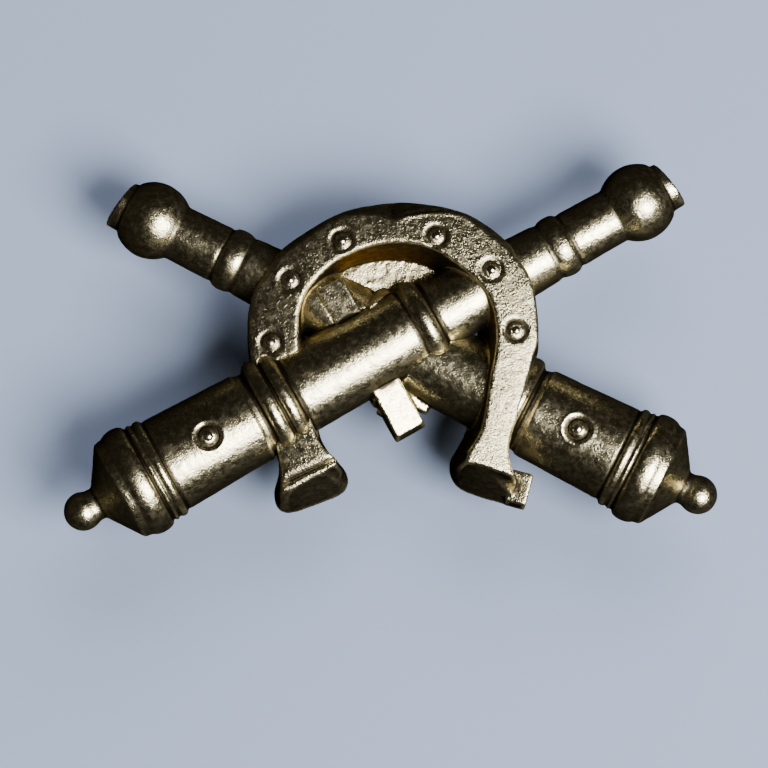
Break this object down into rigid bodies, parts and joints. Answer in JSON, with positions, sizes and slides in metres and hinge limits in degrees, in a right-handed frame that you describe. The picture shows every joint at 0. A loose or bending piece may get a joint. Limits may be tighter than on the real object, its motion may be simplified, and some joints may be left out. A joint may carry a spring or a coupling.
{
  "type": "cap badge",
  "caption": "Metal cap badge of crossed cannon barrels laced through a horseshoe, held to a cap by a threaded post, washer and knurled nut.",
  "frame": {"origin": "under the middle of the badge's bounding box, at the level of the round nut's outer face; the threaded post's axis is at x 0.5 mm, y 2.8 mm", "axes": "+Z out of the badge's front, +X along its width with the front barrel's muzzle on the +X side, +Y towards the horseshoe's toe"},
  "size_m": [0.0377, 0.0214, 0.0088],
  "materials": {
    "shoe_brass": "cast, pale antique gold with dark patina",
    "barrel_brass": "cast, pale antique gold with dark patina",
    "web_brass": "cast, textured",
    "stud_brass": "cast, worn bright",
    "post_brass": "turned, dull",
    "washer_brass": "pressed, satin",
    "nut_brass": "turned and knurled, satin"
  },
  "bodies": {
    "badge": {"horseshoe": "shoe_brass", "front_barrel": "barrel_brass", "rear_barrel": "barrel_brass", "web_plate": "web_brass", "nail_studs": "stud_brass", "vent_studs": "stud_brass", "screw_post": "post_brass", "locating_pins": "post_brass"},
    "washer": {"washer": "washer_brass"},
    "nut": {"round_nut": "nut_brass"}
  },
  "joints": [
    {"name": "washer_slide", "type": "slide", "parent": "badge", "child": "washer", "axis": [0, 0, -1], "range_m": [0, 0.00175]},
    {"name": "nut_spin", "type": "hinge", "parent": "washer", "child": "nut", "pos_m": [0.0005, 0.0028, 0], "axis": [0, 0, -1], "range_deg": [0, 1260]}
  ],
  "couplings": [
    {"joint": "nut_spin", "follows": "washer_slide", "rad_per_m": 12566}
  ]
}
